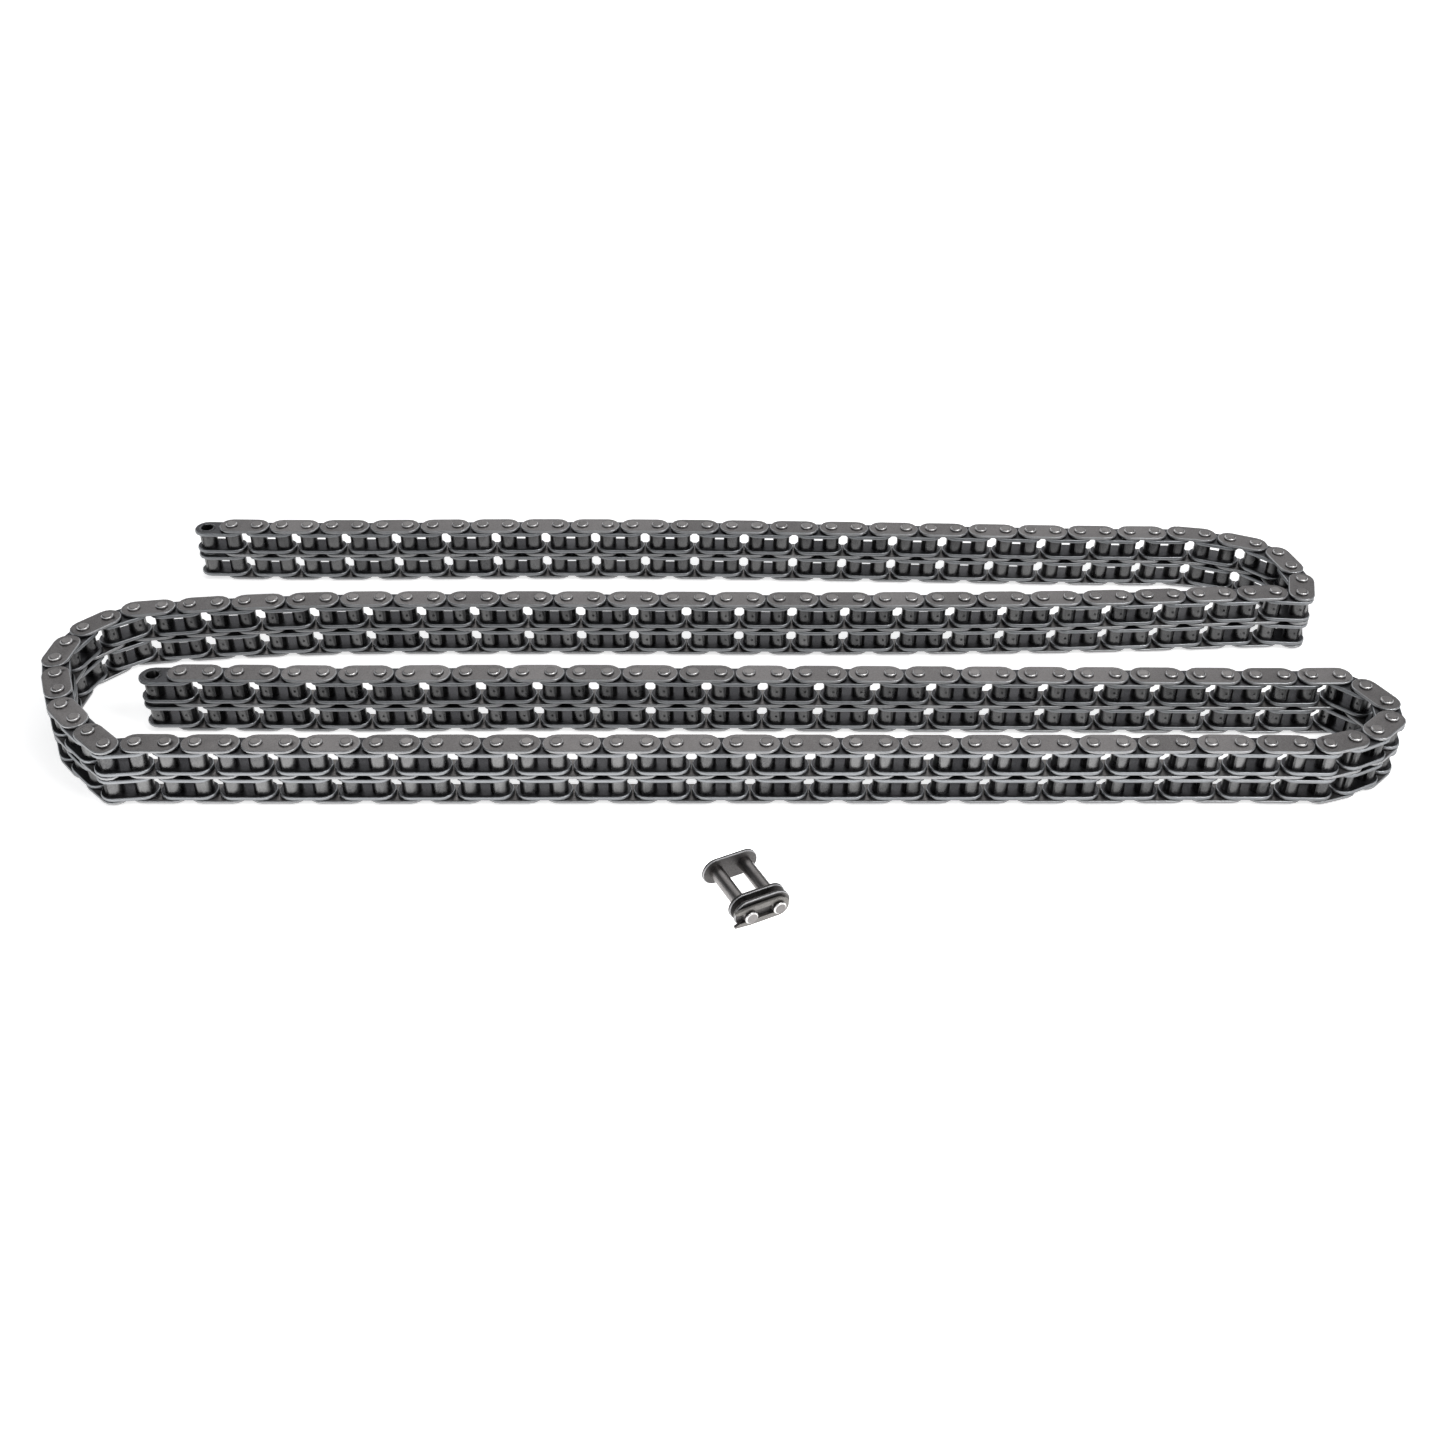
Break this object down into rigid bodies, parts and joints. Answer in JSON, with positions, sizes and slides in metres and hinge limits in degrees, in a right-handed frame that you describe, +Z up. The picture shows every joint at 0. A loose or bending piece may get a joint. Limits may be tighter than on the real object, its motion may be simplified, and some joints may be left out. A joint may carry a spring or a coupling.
{
  "type": "double-strand bush chain",
  "caption": "Double-strand bush chain laid on its side in an open serpentine, with a loose spring-clip connecting link beside it.",
  "frame": {"origin": "on the surface that the chain lies on, under the middle of the whole lay's box", "axes": "+X along the rows, +Y from the front row to the back row, +Z up, along the chain's pins"},
  "size_m": [0.4554, 0.2054, 0.0232],
  "materials": {
    "plate_steel": "tumbled grey heat-treated steel with polished edges, lightly oiled",
    "bush_steel": "smooth rolled steel with a butt seam",
    "pin_steel": "turned steel with a riveted, chamfered head",
    "clip_steel": "blanked spring steel"
  },
  "bodies": {
    "chain_length_01": {"outer_plates_01": "plate_steel", "inner_plates_01": "plate_steel", "bushes_01": "bush_steel", "pins_01": "pin_steel"},
    "chain_length_02": {"outer_plates_02": "plate_steel", "inner_plates_02": "plate_steel", "bushes_02": "bush_steel", "pins_02": "pin_steel"},
    "chain_length_03": {"outer_plates_03": "plate_steel", "inner_plates_03": "plate_steel", "bushes_03": "bush_steel", "pins_03": "pin_steel"},
    "chain_length_04": {"outer_plates_04": "plate_steel", "inner_plates_04": "plate_steel", "bushes_04": "bush_steel", "pins_04": "pin_steel"},
    "chain_length_05": {"outer_plates_05": "plate_steel", "inner_plates_05": "plate_steel", "bushes_05": "bush_steel", "pins_05": "pin_steel"},
    "chain_length_06": {"outer_plates_06": "plate_steel", "inner_plates_06": "plate_steel", "bushes_06": "bush_steel", "pins_06": "pin_steel"},
    "chain_length_07": {"outer_plates_07": "plate_steel", "inner_plates_07": "plate_steel", "bushes_07": "bush_steel", "pins_07": "pin_steel"},
    "chain_length_08": {"outer_plates_08": "plate_steel", "inner_plates_08": "plate_steel", "bushes_08": "bush_steel", "pins_08": "pin_steel"},
    "chain_length_09": {"outer_plates_09": "plate_steel", "inner_plates_09": "plate_steel", "bushes_09": "bush_steel", "pins_09": "pin_steel"},
    "chain_length_10": {"outer_plates_10": "plate_steel", "inner_plates_10": "plate_steel", "bushes_10": "bush_steel", "pins_10": "pin_steel"},
    "chain_length_11": {"outer_plates_11": "plate_steel", "inner_plates_11": "plate_steel", "bushes_11": "bush_steel", "pins_11": "pin_steel"},
    "chain_length_12": {"outer_plates_12": "plate_steel", "inner_plates_12": "plate_steel", "bushes_12": "bush_steel", "pins_12": "pin_steel"},
    "chain_length_13": {"outer_plates_13": "plate_steel", "inner_plates_13": "plate_steel", "bushes_13": "bush_steel", "pins_13": "pin_steel"},
    "connecting_link": {"connecting_back_plate": "plate_steel", "connecting_pins": "pin_steel"},
    "connecting_middle_plate": {"connecting_middle_plate": "plate_steel"},
    "connecting_cover_plate": {"connecting_cover_plate": "plate_steel"},
    "connecting_spring_clip": {"connecting_spring_clip": "clip_steel"}
  },
  "joints": [
    {"name": "pin_hinge_01", "type": "hinge", "parent": "chain_length_02", "child": "chain_length_01", "pos_m": [-0.04235, 0.09669, 0.01158], "axis": [0, 0, 1], "range_deg": [-90, 16]},
    {"name": "pin_hinge_02", "type": "hinge", "parent": "chain_length_03", "child": "chain_length_02", "pos_m": [0.09099, 0.09752, 0.01158], "axis": [0, 0, -1], "range_deg": [-8, 90]},
    {"name": "pin_hinge_03", "type": "hinge", "parent": "chain_length_04", "child": "chain_length_03", "pos_m": [0.21349, 0.07458, 0.01158], "axis": [0, 0, -1], "range_deg": [-5, 90]},
    {"name": "pin_hinge_04", "type": "hinge", "parent": "chain_length_05", "child": "chain_length_04", "pos_m": [0.07963, 0.04824, 0.01158], "axis": [0, 0, 1], "range_deg": [-17, 8]},
    {"name": "pin_hinge_05", "type": "hinge", "parent": "chain_length_06", "child": "chain_length_05", "pos_m": [-0.07271, 0.04424, 0.01158], "axis": [0, 0, -1], "range_deg": [-21, 7]},
    {"name": "pin_hinge_06", "type": "hinge", "parent": "chain_length_07", "child": "chain_length_06", "pos_m": [-0.2231, 0.00213, 0.01158], "axis": [0, 0, 1], "range_deg": [-4, 90]},
    {"name": "pin_hinge_07", "type": "hinge", "parent": "chain_length_08", "child": "chain_length_07", "pos_m": [-0.20621, -0.03151, 0.01158], "axis": [0, 0, 1], "range_deg": [-4, 90]},
    {"name": "pin_hinge_08", "type": "hinge", "parent": "chain_length_08", "child": "chain_length_09", "pos_m": [-0.00221, -0.03917, 0.01158], "axis": [0, 0, 1], "range_deg": [-9, 7]},
    {"name": "pin_hinge_09", "type": "hinge", "parent": "chain_length_09", "child": "chain_length_10", "pos_m": [0.20671, -0.03138, 0.01158], "axis": [0, 0, -1], "range_deg": [-3, 3]},
    {"name": "pin_hinge_10", "type": "hinge", "parent": "chain_length_10", "child": "chain_length_11", "pos_m": [0.21855, -0.00236, 0.01158], "axis": [0, 0, 1], "range_deg": [-3, 3]},
    {"name": "pin_hinge_11", "type": "hinge", "parent": "chain_length_11", "child": "chain_length_12", "pos_m": [0.08768, 0.00132, 0.01158], "axis": [0, 0, -1], "range_deg": [-5, 5]},
    {"name": "pin_hinge_12", "type": "hinge", "parent": "chain_length_12", "child": "chain_length_13", "pos_m": [-0.04564, -0.00138, 0.01158], "axis": [0, 0, -1], "range_deg": [-10, 12]},
    {"name": "connecting_link_lift", "type": "slide", "parent": "chain_length_08", "child": "connecting_link", "axis": [0, 0, 1], "range_m": [0, 0.06]},
    {"name": "middle_plate_slide", "type": "slide", "parent": "connecting_link", "child": "connecting_middle_plate", "axis": [-0.4695, 0.8829, 0], "range_m": [0, 0.01584]},
    {"name": "cover_plate_play", "type": "slide", "parent": "connecting_link", "child": "connecting_cover_plate", "axis": [-0.4695, 0.8829, 0], "range_m": [0, 0.0015]},
    {"name": "spring_clip_slide", "type": "slide", "parent": "connecting_link", "child": "connecting_spring_clip", "axis": [0.8829, 0.4695, 0], "range_m": [0, 0.018]}
  ]
}
